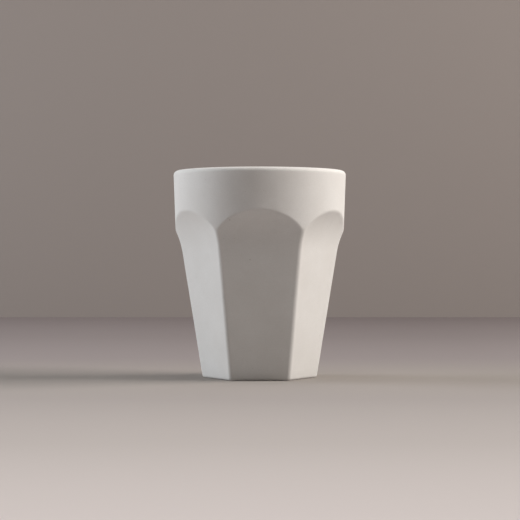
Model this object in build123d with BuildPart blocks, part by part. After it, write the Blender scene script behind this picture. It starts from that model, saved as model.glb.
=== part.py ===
from build123d import *
import os
from math import cos, radians, sin, sqrt, tan

# Plaster mold for slip-casting a six-sided tumbler, in millimetres.
#
# The outside follows the tumbler that the mold casts: a hexagonal body whose flat sides scoop
# outwards under a round collar. Inside is a smaller copy of the same form, the casting cavity.
# The mold parts on the plane y = 0, along the two side edges of the hexagon, so each half holds
# three whole sides and draws straight off the cup. A hexagonal foot plug, keyed into both halves
# by a tongue, forms the underside of the cup. A pour ring above the lip holds the reserve of
# slip and gives the trimming knife its edge.
#
# Frame: origin at the centre of the foot on the bench, +Z up, front half towards -Y, left is -X.

# ---- The tumbler form, at the size of the mold's outside
SIDES = 6
HEIGHT = 179.4
RIM_RADIUS = 74.9  # at the top face, before the lip is rounded
COLLAR_DRAFT = 2.1  # degrees from vertical, narrowing downwards
FOOT_APOTHEM = 43.45  # centre of the foot to the middle of one flat side
SIDE_DRAFT = 8.0  # degrees from vertical
SCOOP_Z = 108.85  # where a flat side starts to curve outwards
SCOOP_RADIUS = 73.0
SCOOP_SWEEP = 35.0  # degrees, enough to leave through the collar
SIDE_ROUNDING = 4.5  # along the edges between two sides, and along the arches
LIP_ROUNDING = 4.0
FOOT_ROUNDING = 2.0
OVERRUN = 5.0  # how far a cutting shape reaches past what it cuts
SEAM_TURN = 15.0  # degrees, keeps the seam of the turned blank off the hexagon's corners

# ---- The casting cavity: the same form, smaller, standing on the foot plug
CUP_SCALE = 0.66
CUP_FOOT_Z = 34.0
LIP_Z = CUP_FOOT_Z + CUP_SCALE * HEIGHT

# ---- Gaps between the loose pieces
PARTING_GAP = 0.1  # between the two halves
FIT_GAP = 0.12  # around the foot plug and the pour ring
CAST_IN_GAP = 0.02  # around a natch cast into the plaster
JOINT_BEVEL = 0.8  # along the visible edges of the plug's and the ring's joints

# ---- Foot plug, six-sided
PLUG_APOTHEM = 27.2
PLUG_CORNER = 3.0
TONGUE_Z = 9.0
TONGUE_DEPTH = 4.8  # its flanks slope at 45 degrees
TONGUE_EDGE = 5.4
PUNT_RADIUS = 20.0  # the raised disc that hollows the underside of the cup
PUNT_HEIGHT = 1.5

# ---- Pour ring
SEAT_RADIUS = 60.0  # at the lip of the cup
SEAT_DRAFT = 2.5
THROAT_RADIUS = 46.5
THROAT_LENGTH = 8.0
MOUTH_RADIUS = 53.0
MOUTH_ROUNDING = 2.0

# ---- Finger scoops beside the pour ring, for lifting it out
GRIP_RADIUS = 10.0
GRIP_CENTRE_Y = 58.0
GRIP_CENTRE_RISE = 2.0

# ---- Natches: moulded pegs and cups that register one half on the other
NATCH_RADIUS = 5.2
NATCH_WAIST = 4.3
NATCH_DEPTH = 7.0
NATCH_FLANGE = 1.8
PEG_ROOT_RADIUS = 3.7
PEG_SHOULDER_RADIUS = 3.3
PEG_SHOULDER = 1.8
PEG_LENGTH = 4.4
PEG_PLAY = 0.08
NATCH_HEIGHTS = {"low": 46.0, "middle": 92.0, "high": 136.0}
NATCH_SIDES = {"left": -1, "right": 1}


def collar_radius(z):
    """Radius of the round collar at a height on the outside form."""
    return RIM_RADIUS - (HEIGHT - z) * tan(radians(COLLAR_DRAFT))


def side_apothem(z):
    """Centre to the middle of a side at a height on the outside form, scoop included."""
    draft = radians(SIDE_DRAFT)
    if z <= SCOOP_Z:
        return FOOT_APOTHEM + z * tan(draft)
    centre_out = FOOT_APOTHEM + SCOOP_Z * tan(draft) + SCOOP_RADIUS * cos(draft)
    centre_z = SCOOP_Z - SCOOP_RADIUS * sin(draft)
    return centre_out - sqrt(SCOOP_RADIUS**2 - (z - centre_z) ** 2)


def edge_radius(z):
    """Centre to the outline of the parting face at a height on the outside form."""
    return min(side_apothem(z) / cos(radians(180 / SIDES)), collar_radius(z))


def natch_radius(z):
    """Centre of the mold to a natch at a height, with as much plaster outside it as inside.

    The hexagon narrows away from the parting face, so the outside is measured at the natch's
    full depth.
    """
    outside = edge_radius(z) - NATCH_DEPTH * tan(radians(180 / SIDES))
    cup_z = (z - CUP_FOOT_Z) / CUP_SCALE
    return (outside + CUP_SCALE * edge_radius(cup_z)) / 2


def make_tumbler(scale, foot_z, lip_rounding):
    """The tumbler form as one solid, at a scale of the mold's outside, standing at foot_z."""
    draft = radians(SIDE_DRAFT)
    far = RIM_RADIUS + OVERRUN

    with BuildPart() as side_cutter:
        with BuildSketch(Plane.YZ):
            with BuildLine():
                below_foot = (FOOT_APOTHEM - OVERRUN * tan(draft), -OVERRUN)
                side = Line(below_foot, (side_apothem(SCOOP_Z), SCOOP_Z))
                scoop = JernArc(side @ 1, (sin(draft), cos(draft)), SCOOP_RADIUS, -SCOOP_SWEEP)
                Polyline(scoop @ 1, (far, (scoop @ 1).Y), (far, -OVERRUN), below_foot)
            make_face()
        extrude(amount=RIM_RADIUS, both=True)

    with BuildPart() as tumbler:
        with BuildSketch(Plane.XZ.rotated((0, 0, SEAM_TURN))):
            blank = [(0, 0), (collar_radius(0), 0), (RIM_RADIUS, HEIGHT), (0, HEIGHT)]
            Polygon(*blank, align=None)
        revolve(axis=Axis.Z)
        with PolarLocations(0, SIDES):
            add(side_cutter.part, mode=Mode.SUBTRACT)
        sloping = tumbler.edges().filter_by(lambda edge: edge.bounding_box().size.Z > 1)
        below_lip = sloping.filter_by(lambda edge: edge.bounding_box().max.Z < HEIGHT - 1)
        fillet(below_lip, SIDE_ROUNDING)
        fillet(tumbler.faces().sort_by(Axis.Z)[0].edges(), FOOT_ROUNDING)
        if lip_rounding:
            fillet(tumbler.faces().sort_by(Axis.Z)[-1].edges(), lip_rounding)

    return scale_shape(tumbler.part, scale).moved(Location((0, 0, foot_z)))


def scale_shape(shape, factor):
    """A copy of a part, scaled about the origin."""
    return scale(shape, by=factor, mode=Mode.PRIVATE)


def make_plug_body(growth, base_bevel):
    """The foot plug without its punt, grown outwards on its sides, bevelled at the bench."""
    tongue_start = TONGUE_Z + TONGUE_DEPTH
    tongue_end = tongue_start + TONGUE_EDGE
    tiers = [
        (0, PLUG_APOTHEM + base_bevel),
        (JOINT_BEVEL, PLUG_APOTHEM),
        (TONGUE_Z, PLUG_APOTHEM),
        (tongue_start, PLUG_APOTHEM + TONGUE_DEPTH),
        (tongue_end, PLUG_APOTHEM + TONGUE_DEPTH),
        (tongue_end + TONGUE_DEPTH, PLUG_APOTHEM),
        (CUP_FOOT_Z, PLUG_APOTHEM),
    ]
    with BuildPart() as body:
        for low, high in zip(tiers, tiers[1:]):
            for z, apothem in (low, high):
                with BuildSketch(Plane.XY.offset(z)) as outline:
                    RegularPolygon(apothem + growth, SIDES, major_radius=False)
                    fillet(outline.vertices(), PLUG_CORNER)
            loft()
    return body.part


def make_natch_body(growth):
    """A natch's waisted body, from its face at z = 0 down to -NATCH_DEPTH."""
    slope = NATCH_RADIUS - NATCH_WAIST
    with BuildPart() as body:
        with BuildSketch(Plane.XZ):
            section = [
                (0, 0),
                (NATCH_RADIUS + growth, 0),
                (NATCH_RADIUS + growth, -NATCH_FLANGE),
                (NATCH_WAIST + growth, -NATCH_FLANGE - slope),
                (NATCH_WAIST + growth, -NATCH_DEPTH + NATCH_FLANGE + slope),
                (NATCH_RADIUS + growth, -NATCH_DEPTH + NATCH_FLANGE),
                (NATCH_RADIUS + growth, -NATCH_DEPTH - growth),
                (0, -NATCH_DEPTH - growth),
            ]
            Polygon(*section, align=None)
        revolve(axis=Axis.Z)
    return body.part


def make_peg(growth):
    """The domed peg of a natch, from z = 0 up: a tapered shank, then a rounded nose."""
    with BuildPart() as peg:
        with BuildSketch(Plane.XZ):
            with BuildLine():
                root = (PEG_ROOT_RADIUS + growth, 0)
                shoulder = (PEG_SHOULDER_RADIUS + growth, PEG_SHOULDER)
                nose = (0, PEG_LENGTH + growth)
                Polyline((0, 0), root, shoulder)
                TangentArc(nose, shoulder, tangent=(1, 0))
                Line(nose, (0, 0))
            make_face()
        revolve(axis=Axis.Z)
    return peg.part


def natch_plane(side, level, face_y, towards_y):
    """The plane of a natch's face: its middle on the parting land, +Z the way it faces."""
    z = NATCH_HEIGHTS[level]
    middle = (NATCH_SIDES[side] * natch_radius(z), face_y, z)
    return Plane(origin=middle, x_dir=(1, 0, 0), z_dir=(0, towards_y, 0))


SPOTS = [(side, level) for side in NATCH_SIDES for level in NATCH_HEIGHTS]
FRONT_FACE_Y = -PARTING_GAP / 2
REAR_FACE_Y = PARTING_GAP / 2

# ---- Foot plug: stays on the bench under the cast cup when the halves come away
with BuildPart() as foot_plug:
    add(make_plug_body(0, -JOINT_BEVEL))
    with BuildSketch(Plane.XY.offset(CUP_FOOT_Z)):
        Circle(PUNT_RADIUS)
    extrude(amount=PUNT_HEIGHT, taper=45)

# ---- Pour ring: a tapered ring that drops into the top of both halves
ring_low = LIP_Z + PARTING_GAP / 2
ring_rise = HEIGHT - LIP_Z
seat_top_radius = SEAT_RADIUS + ring_rise * tan(radians(SEAT_DRAFT))
with BuildPart() as pour_ring:
    with BuildSketch(Plane.XZ):
        ring_section = [
            (THROAT_RADIUS, ring_low),
            (SEAT_RADIUS - FIT_GAP, ring_low),
            (seat_top_radius - FIT_GAP, HEIGHT),
            (MOUTH_RADIUS, HEIGHT),
            (THROAT_RADIUS, ring_low + THROAT_LENGTH),
        ]
        Polygon(*ring_section, align=None)
    revolve(axis=Axis.Z)
    top_edges = pour_ring.faces().sort_by(Axis.Z)[-1].edges().sort_by(SortBy.RADIUS)
    fillet(top_edges[0], MOUTH_ROUNDING)
    chamfer(top_edges[-1], JOINT_BEVEL)
    chamfer(pour_ring.faces().sort_by(Axis.Z)[0].edges().sort_by(SortBy.RADIUS)[-1], JOINT_BEVEL)

# ---- The block of plaster that the two halves share, with every hollow but the natch pockets
with BuildPart() as mold_block:
    add(make_tumbler(1.0, 0.0, LIP_ROUNDING))
    add(make_tumbler(CUP_SCALE, CUP_FOOT_Z, 0), mode=Mode.SUBTRACT)
    add(make_plug_body(FIT_GAP, JOINT_BEVEL), mode=Mode.SUBTRACT)
    with BuildSketch(Plane.XZ):
        seat_section = [
            (0, LIP_Z),
            (SEAT_RADIUS, LIP_Z),
            (seat_top_radius, HEIGHT),
            (0, HEIGHT),
        ]
        Polygon(*seat_section, align=None)
    revolve(axis=Axis.Z, mode=Mode.SUBTRACT)
    seat_mouth = mold_block.faces().sort_by(Axis.Z)[-1].edges().sort_by(SortBy.RADIUS)[0]
    chamfer(seat_mouth, JOINT_BEVEL)
    with Locations(*[(0, y, HEIGHT + GRIP_CENTRE_RISE) for y in (-GRIP_CENTRE_Y, GRIP_CENTRE_Y)]):
        Sphere(GRIP_RADIUS, mode=Mode.SUBTRACT)

# ---- Front half, with the pockets that its pegs are cast into
with BuildPart() as front_half:
    add(mold_block.part)
    split(bisect_by=Plane.XZ.offset(-FRONT_FACE_Y), keep=Keep.TOP)
    for side, level in SPOTS:
        pocket = natch_plane(side, level, FRONT_FACE_Y, 1).location * make_natch_body(CAST_IN_GAP)
        add(pocket, mode=Mode.SUBTRACT)

# ---- Rear half, with the pockets that its cups are cast into
with BuildPart() as rear_half:
    add(mold_block.part)
    split(bisect_by=Plane.XZ.offset(-REAR_FACE_Y), keep=Keep.BOTTOM)
    for side, level in SPOTS:
        pocket = natch_plane(side, level, REAR_FACE_Y, -1).location * make_natch_body(CAST_IN_GAP)
        add(pocket, mode=Mode.SUBTRACT)

pieces = {
    "foot_plug": foot_plug.part,
    "pour_ring": pour_ring.part,
    "front_half": front_half.part,
    "rear_half": rear_half.part,
}

# ---- Natches: pegs in the front half, cups in the rear half
for side, level in SPOTS:
    with BuildPart() as natch_peg:
        with Locations(natch_plane(side, level, FRONT_FACE_Y, 1)):
            add(make_natch_body(0))
            add(make_peg(0))
    pieces[f"natch_peg_{side}_{level}"] = natch_peg.part

    with BuildPart() as natch_cup:
        with Locations(natch_plane(side, level, REAR_FACE_Y, -1)):
            add(make_natch_body(0))
        with Locations(natch_plane(side, level, REAR_FACE_Y, 1)):
            add(make_peg(PEG_PLAY), mode=Mode.SUBTRACT)
    pieces[f"natch_cup_{side}_{level}"] = natch_cup.part

os.makedirs("parts", exist_ok=True)
for name, piece in pieces.items():
    piece.label = name
    export_step(piece, f"parts/{name}.step")
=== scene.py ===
"""Looks for a plaster slip-casting mold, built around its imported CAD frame.

The four plaster pieces are rebuilt here as smooth meshes from the same formulas as the CAD: a
hexagon whose sides scoop outwards under a round collar, the casting cavity as a smaller copy of
it, the plug's socket and the pour ring's seat. Shape lengths are in millimetres until a mesh is
made. Angles about +Z are in radians, and a spread is an angle from the middle of a flat side.
"""
from functools import cache
from math import acos, asin, atan, cos, pi, radians, sin, sqrt, tan

import bmesh
import bpy
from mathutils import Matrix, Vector
from mathutils.geometry import tessellate_polygon


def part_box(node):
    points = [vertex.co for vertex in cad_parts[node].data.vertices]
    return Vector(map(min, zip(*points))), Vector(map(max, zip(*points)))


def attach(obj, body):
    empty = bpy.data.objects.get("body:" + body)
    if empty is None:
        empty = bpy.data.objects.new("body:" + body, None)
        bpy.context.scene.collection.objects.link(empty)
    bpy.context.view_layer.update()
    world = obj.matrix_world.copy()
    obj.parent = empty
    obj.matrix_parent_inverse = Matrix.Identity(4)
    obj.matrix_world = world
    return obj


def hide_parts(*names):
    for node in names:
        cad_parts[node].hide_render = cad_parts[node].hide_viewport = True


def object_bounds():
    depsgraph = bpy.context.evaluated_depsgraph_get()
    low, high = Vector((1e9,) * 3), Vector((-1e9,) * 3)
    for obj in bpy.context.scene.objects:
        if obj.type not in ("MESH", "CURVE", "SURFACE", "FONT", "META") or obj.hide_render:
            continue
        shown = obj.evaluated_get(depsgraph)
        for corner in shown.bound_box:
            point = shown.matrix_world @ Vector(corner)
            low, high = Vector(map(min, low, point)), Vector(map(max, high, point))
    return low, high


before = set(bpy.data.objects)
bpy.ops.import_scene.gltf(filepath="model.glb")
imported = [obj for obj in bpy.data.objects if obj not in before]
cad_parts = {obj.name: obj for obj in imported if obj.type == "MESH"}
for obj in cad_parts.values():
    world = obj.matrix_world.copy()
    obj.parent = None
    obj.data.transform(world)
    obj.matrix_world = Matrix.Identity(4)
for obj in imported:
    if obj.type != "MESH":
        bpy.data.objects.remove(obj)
cad_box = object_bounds()

MM = 0.001

# ---- The tumbler form, as in the CAD
HALF_SIDE = pi / 6  # from the middle of a side to a corner of the hexagon
HEIGHT = cad_box[1].z / MM
RIM_RADIUS = 74.9
COLLAR_DRAFT = radians(2.1)
FOOT_APOTHEM = 43.45
SIDE_DRAFT = radians(8.0)
SCOOP_Z = 108.85
SCOOP_RADIUS = 73.0
SCOOP_END_Z = 160.0  # above every arch, where the scoop is no longer part of the surface
SIDE_ROUNDING = 4.5
ARCH_BLEND = 1.0  # radial width over which a scoop runs into the collar
LIP_ROUNDING = 4.0
FOOT_ROUNDING = 2.0

# ---- The casting cavity, plug, ring and seat, as in the CAD
CUP_SCALE = 0.66
CUP_FOOT_Z = 34.0
LIP_Z = CUP_FOOT_Z + CUP_SCALE * HEIGHT
FIT_GAP = 0.12
PARTING_GAP = 0.1
JOINT_BEVEL = 0.8
PLUG_APOTHEM = 27.2
PLUG_CORNER = 3.0
TONGUE_Z = 9.0
TONGUE_DEPTH = 4.8
TONGUE_EDGE = 5.4
PUNT_RADIUS = 20.0
PUNT_HEIGHT = 1.5
SEAT_RADIUS = 60.0
SEAT_DRAFT = radians(2.5)
THROAT_RADIUS = 46.5
THROAT_LENGTH = 8.0
MOUTH_RADIUS = 53.0
MOUTH_ROUNDING = 2.0
GRIP_RADIUS = 10.0
GRIP_CENTRE_Y = 58.0
GRIP_CENTRE_RISE = 2.0
NATCH_WAIST = 4.3
NATCH_FLANGE = 1.8
NATCH_DEPTH = -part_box("natch_peg_left_low")[0].y / MM - PARTING_GAP / 2
CAST_IN_GAP = 0.02  # around a natch cast into the plaster

# ---- Softness of the plaster's edges
OUTER_PARTING_EDGE = 0.7  # scraped round outside, so that the halves don't chip
INNER_PARTING_EDGE = 0.12  # kept crisp where it marks the cast
SMALL_EDGE = 0.5

# ---- Steps of the meshes along curved stretches
SIDE_STEPS = 14
SCOOP_STEPS = 12
ARCH_STEPS = 16
COLLAR_STEPS = 10
ARCH_REACH = 3.0  # height above and below an arch over which the steps are bunched
FOOT_STEPS = 5
CUP_FOOT_STEPS = 4
LIP_STEPS = 10
GRIP_STEPS = 9
SEAT_STEPS = 6
MOUTH_STEPS = 8
PARTING_STEPS = 5
POCKET_STEPS = 48
ARCH_HALVINGS = 30  # in the search for the height of an arch
GRIP_PASSES = 20  # in the search for the height where a finger scoop meets the seat
MERGE_DISTANCE = 1e-7  # metres


def smooth_min(a, b, width):
    """The lesser of two lengths, with the corner between them rounded off over a width."""
    overlap = max(width - abs(a - b), 0.0) / width
    return min(a, b) - overlap * overlap * width / 4


def blend_steps(low, high, count):
    """Evenly spaced values from low to high, both included."""
    return [low + (high - low) * i / count for i in range(count + 1)]


# ------------------------------------------------------------------ the tumbler form


def collar_radius(z):
    """Radius of the round collar at a height."""
    return RIM_RADIUS - (HEIGHT - z) * tan(COLLAR_DRAFT)


def side_apothem(z):
    """Centre to the middle of a side at a height, scoop included."""
    if z <= SCOOP_Z:
        return FOOT_APOTHEM + z * tan(SIDE_DRAFT)
    centre_out = FOOT_APOTHEM + SCOOP_Z * tan(SIDE_DRAFT) + SCOOP_RADIUS * cos(SIDE_DRAFT)
    centre_z = SCOOP_Z - SCOOP_RADIUS * sin(SIDE_DRAFT)
    rise = min(z, SCOOP_END_Z) - centre_z
    return centre_out - sqrt(SCOOP_RADIUS**2 - rise**2)


def hexagon_radius(spread, apothem, corner):
    """Centre to a hexagon with round corners, at an angle from the middle of a side."""
    flat_end = atan((apothem - corner) * tan(HALF_SIDE) / apothem)
    if abs(spread) <= flat_end:
        return apothem / cos(spread)
    to_corner = HALF_SIDE - abs(spread)
    centre = (apothem - corner) / cos(HALF_SIDE)
    return centre * cos(to_corner) + sqrt(corner**2 - (centre * sin(to_corner)) ** 2)


def form_radius(spread, z):
    """Centre to the tumbler's outside, before its lip and foot are rounded."""
    hexagon = hexagon_radius(spread, side_apothem(z), SIDE_ROUNDING)
    return smooth_min(hexagon, collar_radius(z), ARCH_BLEND)


def arch_height(spread):
    """Height at which a side leaves through the collar."""
    low, high = SCOOP_Z, SCOOP_END_Z
    for _ in range(ARCH_HALVINGS):
        middle = (low + high) / 2
        if hexagon_radius(spread, side_apothem(middle), SIDE_ROUNDING) < collar_radius(middle):
            low = middle
        else:
            high = middle
    return low


def form_heights(spread, top):
    """Heights up the form, bunched where a side runs into the collar."""
    below_arch = arch_height(spread) - ARCH_REACH
    above_arch = below_arch + 2 * ARCH_REACH
    heights = blend_steps(FOOT_ROUNDING, SCOOP_Z, SIDE_STEPS)
    heights += blend_steps(SCOOP_Z, below_arch, SCOOP_STEPS)[1:]
    heights += blend_steps(below_arch, above_arch, ARCH_STEPS)[1:]
    heights += blend_steps(above_arch, top, COLLAR_STEPS)[1:]
    return heights


def round_steps(count):
    """(along, inset) of points round a quarter circle of radius 1, from its start to its end."""
    return [(1 - cos(t), 1 - sin(t)) for t in blend_steps(0, pi / 2, count)]


def foot_section(spread, count):
    """(radius, height) points up the rounding of the foot."""
    points = []
    for along, inset in round_steps(count):
        z = FOOT_ROUNDING * along
        points.append((form_radius(spread, z) - FOOT_ROUNDING * inset, z))
    return points


def outside_section(spread):
    """(radius, height) points up the outside, from the bench to the top face."""
    points = foot_section(spread, FOOT_STEPS)
    shoulder = HEIGHT - LIP_ROUNDING
    points += [(form_radius(spread, z), z) for z in form_heights(spread, shoulder)[1:]]
    for along, inset in reversed(round_steps(LIP_STEPS)[:-1]):
        z = HEIGHT - LIP_ROUNDING * along
        points.append((form_radius(spread, z) - LIP_ROUNDING * inset, z))
    return points


def cavity_section(spread):
    """(radius, height) points down the casting cavity, from the lip to the foot plug."""
    points = foot_section(spread, CUP_FOOT_STEPS)[:-1]
    points += [(form_radius(spread, z), z) for z in form_heights(spread, HEIGHT)]
    return [(CUP_SCALE * r, CUP_FOOT_Z + CUP_SCALE * z) for r, z in reversed(points)]


def plug_section(spread, growth, base_bevel, top_edge):
    """(radius, height) points down the side of the foot plug, grown outwards."""
    start = TONGUE_Z + TONGUE_DEPTH
    end = start + TONGUE_EDGE
    soft = SMALL_EDGE
    tiers = [
        (CUP_FOOT_Z - top_edge, 0),
        (end + TONGUE_DEPTH + soft, 0),
        (end + TONGUE_DEPTH - soft, soft),
        (end + soft, TONGUE_DEPTH - soft),
        (end + soft / 3, TONGUE_DEPTH - soft / 6),
        (end - soft, TONGUE_DEPTH),
        (start + soft, TONGUE_DEPTH),
        (start - soft / 3, TONGUE_DEPTH - soft / 6),
        (start - soft, TONGUE_DEPTH - soft),
        (TONGUE_Z + soft, soft),
        (TONGUE_Z - soft, 0),
        (JOINT_BEVEL, 0),
        (0, base_bevel),
    ]
    return [
        (hexagon_radius(spread, PLUG_APOTHEM + growth + out, PLUG_CORNER), z) for z, out in tiers
    ]


# ------------------------------------------------------------------ the pour ring's seat


def seat_radius(z):
    """Radius of the pour ring's seat at a height."""
    return SEAT_RADIUS + (z - LIP_Z) * tan(SEAT_DRAFT)


def grip_section(turn):
    """(radius, height) points down a finger scoop, or down the seat's bevel where there is none.

    turn is the angle from the middle of the scoop.
    """
    mouth = seat_radius(HEIGHT) + JOINT_BEVEL
    centre = GRIP_CENTRE_Y * cos(turn)
    centre_z = HEIGHT + GRIP_CENTRE_RISE
    across = sqrt(max(GRIP_RADIUS**2 - (GRIP_CENTRE_Y * sin(turn)) ** 2, 0.0))
    reach = centre + sqrt(max(across**2 - GRIP_CENTRE_RISE**2, 0.0))
    if across <= GRIP_CENTRE_RISE or reach <= mouth:
        return [(mouth - drop, HEIGHT - drop) for drop in blend_steps(0, JOINT_BEVEL, GRIP_STEPS)]
    low = HEIGHT
    for _ in range(GRIP_PASSES):
        low = centre_z - sqrt(max(across**2 - (seat_radius(low) - centre) ** 2, 0.0))
    start = acos(min(1.0, GRIP_CENTRE_RISE / across))
    end = acos(min(1.0, (centre_z - low) / across))
    return [
        (centre + across * sin(t), centre_z - across * cos(t))
        for t in blend_steps(start, end, GRIP_STEPS)
    ]


def seat_section(turn):
    """(radius, height) points from the top face's inner edge, down the seat, to the cup's lip."""
    points = grip_section(turn)
    below = points[-1][1]
    points += [(seat_radius(z), z) for z in blend_steps(below, LIP_Z + SMALL_EDGE, SEAT_STEPS)[1:]]
    points.append((SEAT_RADIUS - SMALL_EDGE, LIP_Z))
    return points


# ------------------------------------------------------------------ mesh building


def section_normals(points):
    """Unit normals of a closed section's points, on the left of its direction of travel."""
    normals = []
    for before, after in zip(points[-1:] + points[:-1], points[1:] + points[:1]):
        along = Vector((after[0] - before[0], after[1] - before[1]))
        along.normalize()
        normals.append(Vector((-along.y, along.x)))
    return normals


def make_object(name, node, rings, wrap, cast_face, closed=True, caps=()):
    """A plaster piece from rings of points in millimetres, each joined to the next.

    It stands for a CAD node, and rides on the body of the same name. wrap joins the last ring
    to the first, and closed joins the ends of every ring. cast_face is the range of places
    along a ring where the liquid clay stands against the plaster.
    """
    mesh = bpy.data.meshes.new(name)
    shape = bmesh.new()
    grid = [[shape.verts.new(Vector(point) * MM) for point in ring] for ring in rings]
    followers = grid[1:] + grid[:1] if wrap else grid[1:]
    for ring, following in zip(grid, followers):
        count = len(ring)
        for i in range(count if closed else count - 1):
            after = (i + 1) % count
            face = shape.faces.new([ring[i], ring[after], following[after], following[i]])
            face.smooth = True
            face.material_index = int(i in cast_face)
    for ring_index, holes in caps:
        add_cap(shape, grid[ring_index], holes)
    bmesh.ops.remove_doubles(shape, verts=shape.verts, dist=MERGE_DISTANCE)
    bmesh.ops.recalc_face_normals(shape, faces=shape.faces)
    shape.to_mesh(mesh)
    shape.free()
    piece = bpy.data.objects.new(name, mesh)
    bpy.context.scene.collection.objects.link(piece)
    mesh.materials.append(plaster)
    mesh.materials.append(slip_stained)
    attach(piece, node)
    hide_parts(node)


def add_cap(shape, ring, holes):
    """Closes the open end of a half with a flat parting face, with round pockets let into it."""
    loops = [ring]
    for centre, profile in holes:
        loops.append(add_pocket(shape, centre, profile))
    corners = [vert for loop in loops for vert in loop]
    outlines = [[Vector((vert.co.x, vert.co.z, 0)) / MM for vert in loop] for loop in loops]
    for triangle in tessellate_polygon(outlines):
        shape.faces.new([corners[i] for i in triangle])


def add_pocket(shape, centre, profile):
    """A blind round pocket along Y, and the loop of points round its mouth.

    profile is the pocket's (radius, distance along Y) points, from its mouth to its floor.
    """
    loops = []
    for radius, along in profile:
        loop = []
        for i in range(POCKET_STEPS):
            angle = 2 * pi * i / POCKET_STEPS
            across, up = radius * cos(angle), radius * sin(angle)
            point = Vector((centre.x + across, centre.y + along, centre.z + up))
            loop.append(shape.verts.new(point * MM))
        loops.append(loop)
    for loop, deeper in zip(loops, loops[1:]):
        for i in range(POCKET_STEPS):
            after = (i + 1) % POCKET_STEPS
            shape.faces.new([loop[i], loop[after], deeper[after], deeper[i]]).smooth = True
    shape.faces.new(loops[-1])
    return loops[0]


# ------------------------------------------------------------------ the two halves

# Degrees from a corner of the hexagon to each column of the mesh, bunched where it is round
CORNER_OFFSETS = [0.3, 0.6, 0.9, 1.2, 1.5, 1.8, 2.1, 2.4, 2.8, 3.4, 4.2, 5.2, 6.5, 8.2, 10.2, 12.5]
SIDE_OFFSETS = CORNER_OFFSETS + [15.0, 18.0, 21.0, 24.0, 27.0, 30.0]
GRIP_OFFSETS = [0.6 * i for i in range(1, 20)]  # degrees either side of a finger scoop's middle
FIRST_ANGLE = 6.9  # degrees from the parting plane, where columns start to fan out

NEAR_DISTANCES = (0.8, 1.1, 1.5, 2.0, 2.6)  # of the rings beside the parting plane
TURNING_DISTANCE = 3.1  # where the rings start to turn from the plane to the first column
TURNING_SHARES = (0, 0.2, 0.45, 0.7)


def column_angles():
    """Angles in degrees from the parting plane to the middle of a half."""
    angles = [FIRST_ANGLE] + [offset for offset in SIDE_OFFSETS if offset > FIRST_ANGLE]
    angles += [60 - offset for offset in reversed(SIDE_OFFSETS[:-1])] + [60]
    grip_end = 90 - GRIP_OFFSETS[-1]
    angles += [60 + offset for offset in SIDE_OFFSETS if 60 + offset < grip_end]
    angles += [90 - offset for offset in reversed(GRIP_OFFSETS)] + [90]
    return angles


def half_section(angle):
    """The whole closed (radius, height) section of a half at an angle from the parting plane.

    With it comes the rounding that each point has where the section meets the parting face.
    """
    spread = (angle % (2 * HALF_SIDE)) - HALF_SIDE
    outside = outside_section(spread)
    seat = seat_section(pi / 2 - angle)
    cavity = cavity_section(spread)
    socket = plug_section(spread, FIT_GAP, JOINT_BEVEL, 0)
    points = outside + seat + cavity + socket
    crisp = len(seat) + len(cavity) + len(socket) - 1
    roundings = [OUTER_PARTING_EDGE] * (len(outside) + 1) + [INNER_PARTING_EDGE] * crisp
    return points, roundings


def fan_ring(angle):
    """A ring of 3-D points of the front half's right side, at an angle from the parting plane."""
    points, _ = half_section(angle)
    return [(r * cos(angle), -r * sin(angle), z) for r, z in points]


def edge_ring(along, inset):
    """A ring of the front half's right side, part of the way round its parting edges.

    along and inset are shares of each point's own rounding.
    """
    at_plane, roundings = half_section(0.0)
    normals = section_normals(at_plane)
    ring = []
    for index, ((radius, _), rounding) in enumerate(zip(at_plane, roundings)):
        y = PARTING_GAP / 2 + along * rounding
        ring.append(place_near_plane(index, y, radius, normals[index] * inset * rounding))
    return ring


def near_ring(distance, share):
    """A ring of the front half's right side, near the parting plane.

    It runs at a distance from the parting plane where share is 0, and on the first of the
    fanned-out angles where share is 1.
    """
    ring = []
    for index, (radius, _) in enumerate(half_section(0.0)[0]):
        fanned = radius * sin(radians(FIRST_ANGLE))
        y = distance + (fanned - distance) * share
        ring.append(place_near_plane(index, y, radius, Vector((0, 0))))
    return ring


@cache
def near_section(tenths):
    """The section of a half close to the parting plane, at tenths of a degree from it."""
    return half_section(radians(tenths / 10))[0]


def place_near_plane(index, y, radius, shift):
    """A section point of the front half at a distance y from the parting plane."""
    tenths = asin(min(1.0, y / radius)) / radians(0.1)
    low = int(tenths)
    first, second = near_section(low)[index], near_section(low + 1)[index]
    share = tenths - low
    r = first[0] + (second[0] - first[0]) * share + shift.x
    z = first[1] + (second[1] - first[1]) * share + shift.y
    return (sqrt(r * r - y * y), -y, z)


def half_rings():
    """Rings of the front half, from the parting face on the right round to the left."""
    rings = [edge_ring(along, inset) for along, inset in round_steps(PARTING_STEPS)[:-1]]
    rings += [near_ring(distance, 0) for distance in NEAR_DISTANCES]
    rings += [near_ring(TURNING_DISTANCE, share) for share in TURNING_SHARES]
    rings += [fan_ring(radians(angle)) for angle in column_angles()]
    mirrored = [[(-x, y, z) for x, y, z in ring] for ring in reversed(rings[:-1])]
    return rings + mirrored


def pocket_profile(flange_radius, towards_y):
    """(radius, distance along Y) points down a natch's pocket, drawn in round its waist."""
    wide, narrow = flange_radius + CAST_IN_GAP, NATCH_WAIST + CAST_IN_GAP
    slope = flange_radius - NATCH_WAIST
    points = [
        (wide, 0),
        (wide, NATCH_FLANGE),
        (narrow, NATCH_FLANGE + slope),
        (narrow, NATCH_DEPTH - NATCH_FLANGE - slope),
        (wide, NATCH_DEPTH - NATCH_FLANGE),
        (wide, NATCH_DEPTH + CAST_IN_GAP),
    ]
    return [(radius, towards_y * depth) for radius, depth in points]


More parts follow.
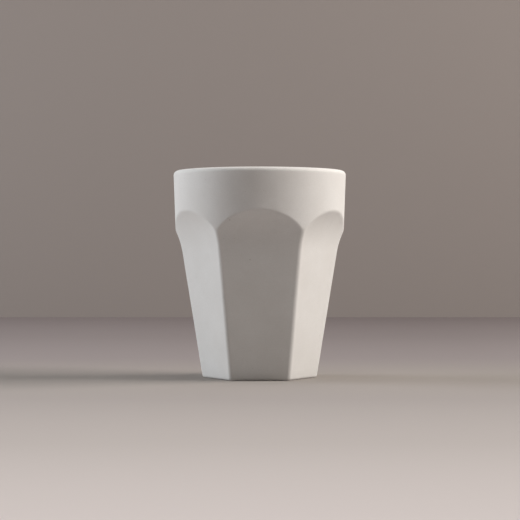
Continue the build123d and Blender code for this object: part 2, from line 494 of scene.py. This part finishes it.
def natch_holes(kind, towards_y):
    """(centre, profile) of the pockets for one half's natches, right and left."""
    face_y = towards_y * PARTING_GAP / 2
    sides = {"right": [], "left": []}
    for side, holes in sides.items():
        for level in ("low", "middle", "high"):
            low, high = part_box(f"natch_{kind}_{side}_{level}")
            centre = Vector(((low.x + high.x) / 2 / MM, face_y, (low.z + high.z) / 2 / MM))
            holes.append((centre, pocket_profile((high.x - low.x) / 2 / MM, towards_y)))
    return sides["right"], sides["left"]


def half_cast_face():
    """Places along a half's section that belong to the casting cavity."""
    start = len(outside_section(0)) + len(seat_section(0))
    return range(start, start + len(cavity_section(0)) - 1)


def make_half(name, node, towards_y, kind):
    """One half of the mold. towards_y is -1 for the front half and 1 for the rear half."""
    rings = [[(x, -towards_y * y, z) for x, y, z in ring] for ring in half_rings()]
    right, left = natch_holes(kind, towards_y)
    caps = ((0, right), (-1, left))
    make_object(name, node, rings, False, half_cast_face(), caps=caps)


# ------------------------------------------------------------------ foot plug and pour ring


PLUG_TOP_STEPS = 5  # steps of the plug's section that form the cup's foot
RING_BORE_START = 11  # the step of the ring's section where its top gives way to the bore


def full_turn(section_at, degrees):
    """Rings of a piece that goes all the way round, one for each angle."""
    rings = []
    for angle in degrees:
        turn = radians(angle)
        rings.append([(r * cos(turn), r * sin(turn), z) for r, z in section_at(turn)])
    return rings


def plug_at(turn):
    """The closed section of the foot plug at an angle about +Z."""
    spread = (turn % (2 * HALF_SIDE)) - HALF_SIDE
    punt_top = CUP_FOOT_Z + PUNT_HEIGHT
    top = [(0.0, punt_top)]
    top += [(PUNT_RADIUS - PUNT_HEIGHT - SMALL_EDGE, punt_top)]
    top += [(PUNT_RADIUS - PUNT_HEIGHT + SMALL_EDGE / 2, punt_top - SMALL_EDGE / 2)]
    top += [(PUNT_RADIUS - SMALL_EDGE / 2, CUP_FOOT_Z + SMALL_EDGE / 2)]
    top += [(PUNT_RADIUS + SMALL_EDGE, CUP_FOOT_Z)]
    edge = SMALL_EDGE / 2
    top += [(hexagon_radius(spread, PLUG_APOTHEM - edge, PLUG_CORNER), CUP_FOOT_Z)]
    return top + plug_section(spread, 0, -JOINT_BEVEL, edge) + [(0.0, 0.0)]


def plug_degrees():
    """Angles for the foot plug, bunched at its corners."""
    offsets = CORNER_OFFSETS + [15.0, 20.0, 25.0, 30.0]
    one_side = offsets + [60 - offset for offset in reversed(offsets[:-1])] + [60]
    return [60 * side + angle for side in range(6) for angle in one_side]


def ring_outer_section(low):
    """(radius, height) points up the outside of the pour ring, from its underside at low."""
    outer_low = seat_radius(LIP_Z) - FIT_GAP
    outer_top = seat_radius(HEIGHT) - FIT_GAP
    points = [
        (outer_low - JOINT_BEVEL, low),
        (outer_low - JOINT_BEVEL / 4, low + JOINT_BEVEL / 4),
        (outer_low, low + JOINT_BEVEL),
    ]
    points += [
        (outer_low + (outer_top - outer_low) * share, low + (HEIGHT - low) * share)
        for share in blend_steps(0.1, 0.9, 4)
    ]
    points += [
        (outer_top, HEIGHT - JOINT_BEVEL),
        (outer_top - JOINT_BEVEL / 4, HEIGHT - JOINT_BEVEL / 4),
        (outer_top - JOINT_BEVEL, HEIGHT),
    ]
    return points


def ring_at(_turn):
    """The closed section of the pour ring, the same all the way round."""
    low = LIP_Z + PARTING_GAP / 2
    knee = low + THROAT_LENGTH
    soft = SMALL_EDGE
    flare = atan((MOUTH_RADIUS - THROAT_RADIUS) / (HEIGHT - low - THROAT_LENGTH))
    sweep = pi / 2 - flare
    centre = MOUTH_RADIUS + MOUTH_ROUNDING * tan(sweep / 2)
    points = ring_outer_section(low)
    for t in blend_steps(0, sweep, MOUTH_STEPS):
        drop = MOUTH_ROUNDING * (1 - cos(t))
        points.append((centre - MOUTH_ROUNDING * sin(t), HEIGHT - drop))
    points += [
        (THROAT_RADIUS + soft * tan(flare), knee + soft),
        (THROAT_RADIUS, knee - soft),
        (THROAT_RADIUS, low + soft / 3),
        (THROAT_RADIUS + soft / 3, low),
    ]
    return points


def ring_degrees():
    """Evenly spaced angles for the pour ring."""
    return [2.0 * i for i in range(180)]


# ------------------------------------------------------------------ materials


def add_node(tree, kind, inputs, **settings):
    """A shader node, with each input set to a value or linked from another node's output."""
    node = tree.nodes.new(kind)
    for key, value in settings.items():
        setattr(node, key, value)
    for key, value in inputs.items():
        if isinstance(value, bpy.types.NodeSocket):
            tree.links.new(value, node.inputs[key])
        else:
            node.inputs[key].default_value = value
    return node


def mapped(tree, value, low, high, to_low, to_high):
    """A value carried from one range to another, held at the ends."""
    limits = {"Value": value, "From Min": low, "From Max": high, "To Min": to_low, "To Max": to_high}
    return add_node(tree, "ShaderNodeMapRange", limits).outputs["Result"]


def mixed(tree, factor, first, second):
    """Two colours mixed by a factor."""
    node = add_node(tree, "ShaderNodeMix", {0: factor, 6: first, 7: second}, data_type="RGBA")
    return node.outputs[2]


def new_material(name):
    """A node material, with its tree and its surface shader."""
    material = bpy.data.materials.new(name)
    material.use_nodes = True
    tree = material.node_tree
    return material, tree, tree.nodes["Principled BSDF"]


def noise(tree, where, scale, detail):
    """Cloudy noise about 0.5, with scale in features per metre."""
    inputs = {"Vector": where, "Scale": scale, "Detail": detail, "Roughness": 0.55}
    return add_node(tree, "ShaderNodeTexNoise", inputs).outputs["Fac"]


def pinholes(tree, where, scale, radius, share):
    """1 in small round air holes, scattered one to a cell in a share of the cells, else 0.

    scale is cells per metre, and radius is in cells.
    """
    cells = add_node(tree, "ShaderNodeTexVoronoi", {"Vector": where, "Scale": scale})
    hole = mapped(tree, cells.outputs["Distance"], radius * 0.5, radius, 1.0, 0.0)
    split = add_node(tree, "ShaderNodeSeparateColor", {"Color": cells.outputs["Color"]})
    chosen = mapped(tree, split.outputs["Red"], share, share + 0.01, 1.0, 0.0)
    both = {0: hole, 1: chosen}
    return add_node(tree, "ShaderNodeMath", both, operation="MULTIPLY").outputs[0]


def bumped(tree, height, strength, distance, below=None, dent=False):
    """A normal with a height laid over another normal. distance is in metres."""
    inputs = {"Height": height, "Strength": strength, "Distance": distance}
    if below is not None:
        inputs["Normal"] = below
    return add_node(tree, "ShaderNodeBump", inputs, invert=dent).outputs["Normal"]


CLOUDS = (26.0, 3.0)  # scale and detail of a noise, as are the next three
MOTTLE = (170.0, 4.0)
GRAIN = (900.0, 4.0)
CAST_SKIN = (45.0, 2.0)  # slow unevenness of the surface left by the form it was poured on
# painted shade: the tone that the air holes are darkened towards, for the shade inside them
HOLE_SHADE_TONE = (0.34, 0.32, 0.30, 1)
WORN_TONE = (0.88, 0.875, 0.865, 1)
SMALL_HOLES = (330.0, 0.12, 0.05)  # cells a metre, radius in cells, share of cells
LARGE_HOLES = (120.0, 0.080, 0.035)
# how far the air holes are darkened towards that painted shade
HOLE_SHADE_STRENGTH = 0.42
CLEAN_TONES = (0.86, 0.855, 0.842, 1), (0.81, 0.80, 0.782, 1)
STAINED_TONES = (0.78, 0.745, 0.685, 1), (0.66, 0.615, 0.55, 1)
DUST_SHARE = 0.86  # brightness of the dust against the shade tone
TIDE_TONE = (0.56, 0.51, 0.45, 1)
SLIP_LEVEL = (HEIGHT - 5.0) * MM  # how high the liquid clay has stood
TIDE_SOFTNESS = 0.0012
TIDE_WANDER = 0.0016
WANDER = (60.0, 2.0)  # scale and detail of a noise


def plaster_tone(tree, where, pale, shade):
    """The colour of plaster: clouded, finely mottled, and grey with dust in its grain."""
    clouds = mapped(tree, noise(tree, where, *CLOUDS), 0.36, 0.64, 0.0, 0.9)
    mottle = mapped(tree, noise(tree, where, *MOTTLE), 0.35, 0.7, 0.0, 0.30)
    dust = mapped(tree, noise(tree, where, *GRAIN), 0.35, 0.7, 0.0, 0.22)
    dust_tone = [channel * DUST_SHARE for channel in shade[:3]]
    colour = mixed(tree, clouds, pale, shade)
    colour = mixed(tree, mottle, colour, shade)
    return mixed(tree, dust, colour, (*dust_tone, 1))


def slip_tone(tree, where):
    """Plaster tinted by liquid clay up to a wandering tide line."""
    z = add_node(tree, "ShaderNodeSeparateXYZ", {"Vector": where}).outputs["Z"]
    reach = TIDE_WANDER / 2
    wander = mapped(tree, noise(tree, where, *WANDER), 0.3, 0.7, -reach, reach)
    level = add_node(tree, "ShaderNodeMath", {0: z, 1: wander}, operation="ADD").outputs[0]
    under = mapped(tree, level, SLIP_LEVEL + TIDE_SOFTNESS, SLIP_LEVEL, 0.0, 1.0)
    tide = mapped(tree, level, SLIP_LEVEL - TIDE_SOFTNESS, SLIP_LEVEL, 0.0, 0.45)
    stained = plaster_tone(tree, where, *STAINED_TONES)
    edged = mixed(tree, tide, stained, TIDE_TONE)
    return mixed(tree, under, plaster_tone(tree, where, *CLEAN_TONES), edged)


def clean_tone(tree, where):
    """Clean plaster, worn pale along its edges."""
    edge = add_node(tree, "ShaderNodeNewGeometry", {}).outputs["Pointiness"]
    worn = mapped(tree, edge, 0.52, 0.60, 0.0, 0.45)
    return mixed(tree, worn, plaster_tone(tree, where, *CLEAN_TONES), WORN_TONE)


def make_plaster(name, tone):
    """Dry pottery plaster: chalky, with a fine grain and a few air holes, painted dark as shade
    inside them. tone colours it.
    """
    material, tree, shader = new_material(name)
    where = add_node(tree, "ShaderNodeTexCoord", {}).outputs["Object"]
    colour = tone(tree, where)
    small = pinholes(tree, where, *SMALL_HOLES)
    large = pinholes(tree, where, *LARGE_HOLES)
    holes = add_node(tree, "ShaderNodeMath", {0: small, 1: large}, operation="MAXIMUM").outputs[0]
    # painted shade in the air holes, which are otherwise only dents in the bump
    colour = mixed(tree, mapped(tree, holes, 0, 1, 0, HOLE_SHADE_STRENGTH), colour, HOLE_SHADE_TONE)
    tree.links.new(colour, shader.inputs["Base Color"])
    skin = noise(tree, where, *CAST_SKIN)
    tree.links.new(mapped(tree, skin, 0.3, 0.7, 0.68, 0.80), shader.inputs["Roughness"])
    shader.inputs["Specular IOR Level"].default_value = 0.3
    normal = bumped(tree, skin, 0.25, 0.0005)
    normal = bumped(tree, noise(tree, where, *GRAIN), 0.4, 0.0001, normal)
    normal = bumped(tree, holes, 1.0, 0.0004, normal, dent=True)
    tree.links.new(normal, shader.inputs["Normal"])
    return material


NATCH_TONES = (0.035, 0.055, 0.080, 1), (0.055, 0.080, 0.110, 1)
BLOOM = (300.0, 2.0)  # scale and detail of a noise, as are the next two
SATIN = (700.0, 2.0)
SPARK_GRAIN = (2600.0, 2.0)


def make_natch_plastic():
    """Moulded plastic: satin, with a fine spark-eroded grain and a slight bloom."""
    material, tree, shader = new_material("natch_plastic")
    where = add_node(tree, "ShaderNodeTexCoord", {}).outputs["Object"]
    bloom = mapped(tree, noise(tree, where, *BLOOM), 0.35, 0.7, 0.0, 1.0)
    tree.links.new(mixed(tree, bloom, *NATCH_TONES), shader.inputs["Base Color"])
    rough = mapped(tree, noise(tree, where, *SATIN), 0.3, 0.7, 0.34, 0.5)
    tree.links.new(rough, shader.inputs["Roughness"])
    normal = bumped(tree, noise(tree, where, *SPARK_GRAIN), 0.3, 0.00004)
    tree.links.new(normal, shader.inputs["Normal"])
    return material


# ------------------------------------------------------------------ the pieces

plaster = make_plaster("plaster", clean_tone)
slip_stained = make_plaster("slip_stained_plaster", slip_tone)

make_half("front_half_plaster", "front_half", -1, "peg")
make_half("rear_half_plaster", "rear_half", 1, "cup")
plug_rings = full_turn(plug_at, plug_degrees())
plug_cast_face = range(PLUG_TOP_STEPS)
make_object("foot_plug_plaster", "foot_plug", plug_rings, True, plug_cast_face, closed=False)
ring_rings = full_turn(ring_at, ring_degrees())
ring_cast_face = range(RING_BORE_START, len(ring_at(0)) - 1)
make_object("pour_ring_plaster", "pour_ring", ring_rings, True, ring_cast_face)

natch_plastic = make_natch_plastic()
for node_name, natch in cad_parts.items():
    if node_name.startswith("natch_"):
        natch.data.materials.clear()
        natch.data.materials.append(natch_plastic)

# ------------------------------------------------------------------ the studio

WALL_Y = 1.64
STAGE_HALF_WIDTH = 7.0
STAGE_FRONT_Y = -7.0
WALL_HEIGHT = 4.0
FADE_CENTRE_Y = 0.45  # the oval outside which the studio fades out of sight
FADE_HALF_WIDTH = 0.75
FADE_HALF_DEPTH = 1.4
FADE_END = 2.1  # in sizes of the oval
FLOOR_PAINTED_LIGHT_TILT = 0.06  # painted light: how much paler the floor is painted on the left, for the lamps' fall-off
TILT_REACH = 0.25
WALL_TONE = (0.32, 0.285, 0.268)
WALL_STOPS = [(0.0, WALL_TONE), (WALL_Y, WALL_TONE)]
# Painted light: the floor's tone is graded along Y to stand in for how the lamps' light falls off
# across it
FLOOR_PAINTED_LIGHT_STOPS = [
    (-1.3, (0.50, 0.46, 0.45)),
    (-0.85, (0.73, 0.68, 0.67)),
    (-0.55, (0.52, 0.485, 0.47)),
    (-0.25, (0.395, 0.365, 0.355)),
    (0, (0.34, 0.315, 0.295)),
    (0.3, (0.295, 0.265, 0.265)),
    (0.8, (0.27, 0.24, 0.24)),
    (1.6, (0.28, 0.245, 0.245)),
]


def make_backdrop_paint(name, stops, tilt):
    """Matte studio paint, with its tone graded along Y through (y, colour) stops, tilted in X; on
    the floor this grading and tilt are painted light, for how the lamps' light falls off.

    Far from the object the camera looks through it to the plain tone behind the studio.
    """
    material, tree, shader = new_material(name)
    where = add_node(tree, "ShaderNodeTexCoord", {}).outputs["Object"]
    place = add_node(tree, "ShaderNodeSeparateXYZ", {"Vector": where}).outputs
    low, high = stops[0][0], stops[-1][0]
    along = mapped(tree, place["Y"], low, high, 0.0, 1.0)
    ramp = add_node(tree, "ShaderNodeValToRGB", {"Fac": along})
    elements = ramp.color_ramp.elements
    while len(elements) < len(stops):
        elements.new(0.5)
    for element, (distance, colour) in zip(elements, stops):
        element.position = (distance - low) / (high - low)
        element.color = (*colour, 1)
    across = mapped(tree, place["X"], -TILT_REACH, TILT_REACH, 1 + tilt, 1 - tilt)
    inputs = {0: ramp.outputs["Color"], "Scale": across}
    tone = add_node(tree, "ShaderNodeVectorMath", inputs, operation="SCALE").outputs["Vector"]
    tree.links.new(tone, shader.inputs["Base Color"])
    shader.inputs["Roughness"].default_value = 0.95
    shader.inputs["Specular IOR Level"].default_value = 0.0
    tree.links.new(far_fade(tree, where), shader.inputs["Alpha"])
    return material


def far_fade(tree, where):
    """1 over an oval round the object, falling to 0 further out for what the camera sees."""
    steps = (
        ("MULTIPLY", (1, 1, 0)),
        ("SUBTRACT", (0, FADE_CENTRE_Y, 0)),
        ("DIVIDE", (FADE_HALF_WIDTH, FADE_HALF_DEPTH, 1)),
    )
    place = where
    for operation, by in steps:
        inputs = {0: place, 1: by}
        step = add_node(tree, "ShaderNodeVectorMath", inputs, operation=operation)
        place = step.outputs["Vector"]
    reach = add_node(tree, "ShaderNodeVectorMath", {0: place}, operation="LENGTH")
    ramp = {"Value": reach.outputs["Value"], "From Min": 1.0, "From Max": FADE_END}
    far = add_node(tree, "ShaderNodeMapRange", ramp, interpolation_type="SMOOTHSTEP")
    seen = add_node(tree, "ShaderNodeLightPath", {}).outputs["Is Camera Ray"]
    both = {0: far.outputs["Result"], 1: seen}
    gone = add_node(tree, "ShaderNodeMath", both, operation="MULTIPLY").outputs[0]
    return add_node(tree, "ShaderNodeMath", {0: 1.0, 1: gone}, operation="SUBTRACT").outputs[0]


def make_sheet(name, near, far, material):
    """A flat sheet across the studio, between two (y, z) edges."""
    wide = STAGE_HALF_WIDTH
    corners = [(-wide, *near), (wide, *near), (wide, *far), (-wide, *far)]
    mesh = bpy.data.meshes.new(name)
    mesh.from_pydata(corners, [], [(0, 1, 2, 3)])
    mesh.materials.append(material)
    sheet = bpy.data.objects.new(name, mesh)
    bpy.context.scene.collection.objects.link(sheet)


# The floor's tone is graded and tilted as painted light; the wall is one even tone
floor_tone_and_painted_light = make_backdrop_paint("floor_tone_and_painted_light", FLOOR_PAINTED_LIGHT_STOPS, FLOOR_PAINTED_LIGHT_TILT)
wall_paint = make_backdrop_paint("wall_paint", WALL_STOPS, 0.0)
make_sheet("floor", (STAGE_FRONT_Y, 0), (WALL_Y, 0), floor_tone_and_painted_light)
make_sheet("backdrop", (WALL_Y, 0), (WALL_Y, WALL_HEIGHT), wall_paint)


def add_area_light(name, place, target, size, watts, colour):
    """A soft rectangular lamp, aimed at a point."""
    lamp = bpy.data.lights.new(name, "AREA")
    lamp.shape = "RECTANGLE"
    lamp.size, lamp.size_y = size
    lamp.energy = watts
    lamp.color = colour
    light = bpy.data.objects.new(name, lamp)
    bpy.context.scene.collection.objects.link(light)
    light.visible_camera = False
    light.location = place
    aim = Vector(target) - Vector(place)
    light.rotation_euler = aim.to_track_quat("-Z", "Y").to_euler()


def on_dome(azimuth, elevation):
    """A lamp's place round the object, from two angles in degrees.

    Azimuth 0 is the camera's side and 90 is +X.
    """
    turn, rise = radians(azimuth), radians(elevation)
    level = LAMP_DISTANCE * cos(rise)
    return (level * sin(turn), -level * cos(turn), MIDDLE[2] + LAMP_DISTANCE * sin(rise))


MIDDLE = (0.0, 0.0, HEIGHT * MM / 2)
FOOT = (0.0, 0.0, 0.0)
LAMP_DISTANCE = 2.4
OVERHEAD_PLACE = (0.0, -0.15, 1.8)
WARM_WHITE = (1.0, 0.94, 0.88)
COOL_WHITE = (0.93, 0.965, 1.0)
SOFT_WHITE = (1.0, 0.96, 0.94)

LAMPS = [  # name, place, what it is aimed at, width and height, watts, colour
    ("softbox_right", on_dome(90, 34), MIDDLE, (1.6, 0.9), 61.0, WARM_WHITE),
    ("softbox_left", on_dome(-102, 15), MIDDLE, (1.2, 0.7), 38.5, COOL_WHITE),
    ("overhead", OVERHEAD_PLACE, FOOT, (1.3, 1.3), 10.5, SOFT_WHITE),
]
for lamp_settings in LAMPS:
    add_area_light(*lamp_settings)

AMBIENT = (0.060, 0.060, 0.060, 1)
BEYOND_TONE = (0.25, 0.22, 0.21, 1)  # what the camera sees where the studio has faded out

world = bpy.data.worlds.new("studio")
world.use_nodes = True
background = world.node_tree.nodes["Background"]
seen = add_node(world.node_tree, "ShaderNodeLightPath", {}).outputs["Is Camera Ray"]
tone = mixed(world.node_tree, seen, AMBIENT, BEYOND_TONE)
world.node_tree.links.new(tone, background.inputs["Color"])
bpy.context.scene.world = world
bpy.context.scene.view_settings.view_transform = "Standard"

# ------------------------------------------------------------------ the camera

EYE_DISTANCE = 1.504
EYE_HEIGHT = 0.100
LENS = 119.7
SHIFT_X = 0.0006
SHIFT_Y = 0.0045

camera_data = bpy.data.cameras.new("camera")
camera_data.lens = LENS
camera_data.shift_x = SHIFT_X
camera_data.shift_y = SHIFT_Y
camera = bpy.data.objects.new("camera", camera_data)
camera.location = (0.0, -EYE_DISTANCE, EYE_HEIGHT)
camera.rotation_euler = (pi / 2, 0.0, 0.0)
bpy.context.scene.collection.objects.link(camera)
bpy.context.scene.camera = camera
